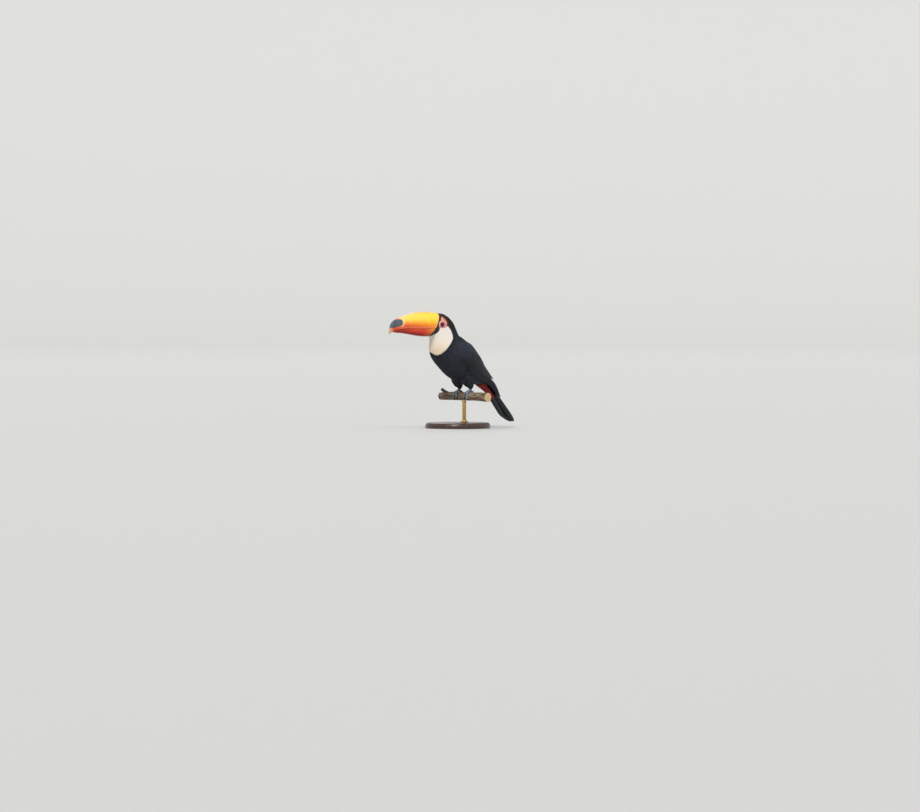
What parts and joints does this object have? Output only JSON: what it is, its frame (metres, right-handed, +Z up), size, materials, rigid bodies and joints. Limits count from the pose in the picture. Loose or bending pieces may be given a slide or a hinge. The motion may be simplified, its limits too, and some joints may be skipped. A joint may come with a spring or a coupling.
{
  "type": "toco toucan model",
  "caption": "Life-size still model of a perched toco toucan with a huge orange bill, black body and white throat, on a short cut branch held by a rod and a round base.",
  "frame": {"origin": "on the flat underside of the stand's base, straight below the middle of the branch", "axes": "+Z up; the bird faces -X and its tail points to +X; its left side is -Y, and the branch runs along Y"},
  "size_m": [0.456, 0.2091, 0.3293],
  "materials": {
    "bill": "smooth horn, satin, yellow to red-orange with a black tip patch and a black base",
    "eye": "wet, very dark brown",
    "eyelid": "bare violet-blue skin with fine creases",
    "face_skin": "bare orange skin with fine creases",
    "black_plumage": "soft black feathers with a faint blue sheen",
    "white_plumage": "soft creamy white feathers",
    "red_plumage": "soft deep red feathers",
    "leg_scales": "blue-grey scaled skin",
    "claw": "dark horn",
    "bark": "dry grey-brown bark with pale cut ends",
    "rod": "brushed, satin",
    "base": "dark turned hardwood, satin varnish"
  },
  "bodies": {
    "root": {"bill_upper": "bill", "bill_lower": "bill", "eye_left": "eye", "eye_right": "eye", "eyelid_left": "eyelid", "eyelid_right": "eyelid", "face_left": "face_skin", "face_right": "face_skin", "head": "black_plumage", "neck": "black_plumage", "torso": "black_plumage", "wing_left": "black_plumage", "wing_right": "black_plumage", "tail": "black_plumage", "thigh_left": "black_plumage", "thigh_right": "black_plumage", "throat": "white_plumage", "rump": "white_plumage", "vent": "red_plumage", "leg_left": "leg_scales", "leg_right": "leg_scales", "claw_left_1": "claw", "claw_left_2": "claw", "claw_left_3": "claw", "claw_left_4": "claw", "claw_right_1": "claw", "claw_right_2": "claw", "claw_right_3": "claw", "claw_right_4": "claw", "perch": "bark", "stand_rod": "rod", "stand_base": "base"}
  },
  "joints": []
}
